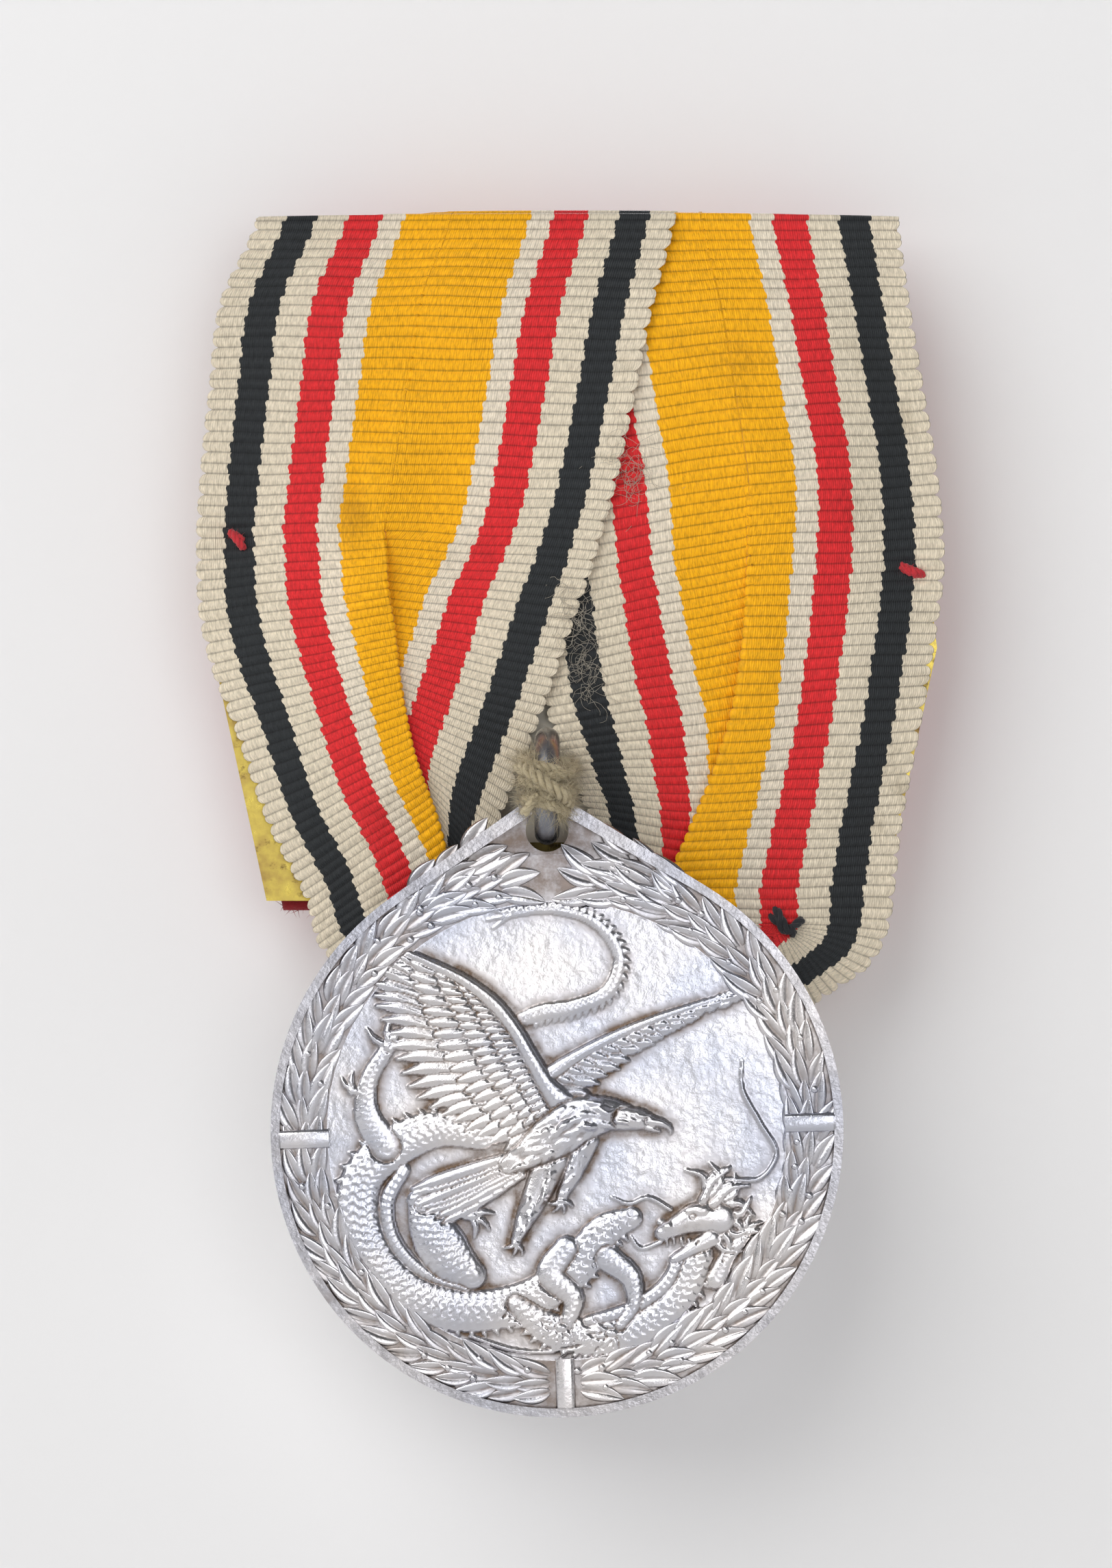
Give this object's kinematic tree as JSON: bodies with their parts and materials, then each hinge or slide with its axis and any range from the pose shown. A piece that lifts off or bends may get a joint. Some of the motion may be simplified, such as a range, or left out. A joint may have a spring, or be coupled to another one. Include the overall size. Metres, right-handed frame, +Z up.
{
  "type": "military service medal",
  "caption": "Round pointed steel medal on a wire ring, hung from a folded striped ribbon sewn over a brass plate with a brooch pin",
  "frame": {"origin": "on the axis of the brooch pin's straight shaft, in the middle between its hinge and its catch", "axes": "X to the right of a viewer who faces the medal, Y back towards the coat, Z up, as worn"},
  "size_m": [0.042, 0.0138, 0.0676],
  "materials": {
    "sheet_brass": "tarnished, worn bright at the edges",
    "ribbon_silk": "corded, striped",
    "red_felt": "matte",
    "cotton_wadding": "loose fibres",
    "pin_wire": "satin",
    "ring_wire": "darkened, satin",
    "medal_steel": "struck and polished, dark in the hollows",
    "linen_yarn": "fuzzy",
    "red_thread": "matte",
    "black_thread": "waxed"
  },
  "bodies": {
    "mount": {"backing_plate": "sheet_brass", "felt_backing": "red_felt", "wadding_pad": "cotton_wadding", "ribbon": "ribbon_silk", "pin_hinge_bracket": "sheet_brass", "hinge_rivet": "sheet_brass", "pin_catch": "sheet_brass", "binding_yarn": "linen_yarn", "left_stitch": "red_thread", "right_stitch": "red_thread", "corner_stitch": "black_thread", "felt_stitches": "red_thread"},
    "pin": {"brooch_pin": "pin_wire"},
    "ring": {"suspension_ring": "ring_wire", "yarn_knot": "linen_yarn"},
    "medal": {"medal": "medal_steel"}
  },
  "joints": [
    {"name": "pin_swing", "type": "hinge", "parent": "mount", "child": "pin", "pos_m": [0.0124, 0, 0], "axis": [0, 0, -1], "range_deg": [0, 95]},
    {"name": "ring_swing", "type": "hinge", "parent": "mount", "child": "ring", "pos_m": [-0.00154, -0.00855, -0.01967], "axis": [-1, 0, 0], "range_deg": [0, 70]},
    {"name": "medal_swing", "type": "hinge", "parent": "ring", "child": "medal", "pos_m": [-0.00154, -0.00855, -0.0235], "axis": [0, 1, 0], "range_deg": [-30, 30]}
  ]
}
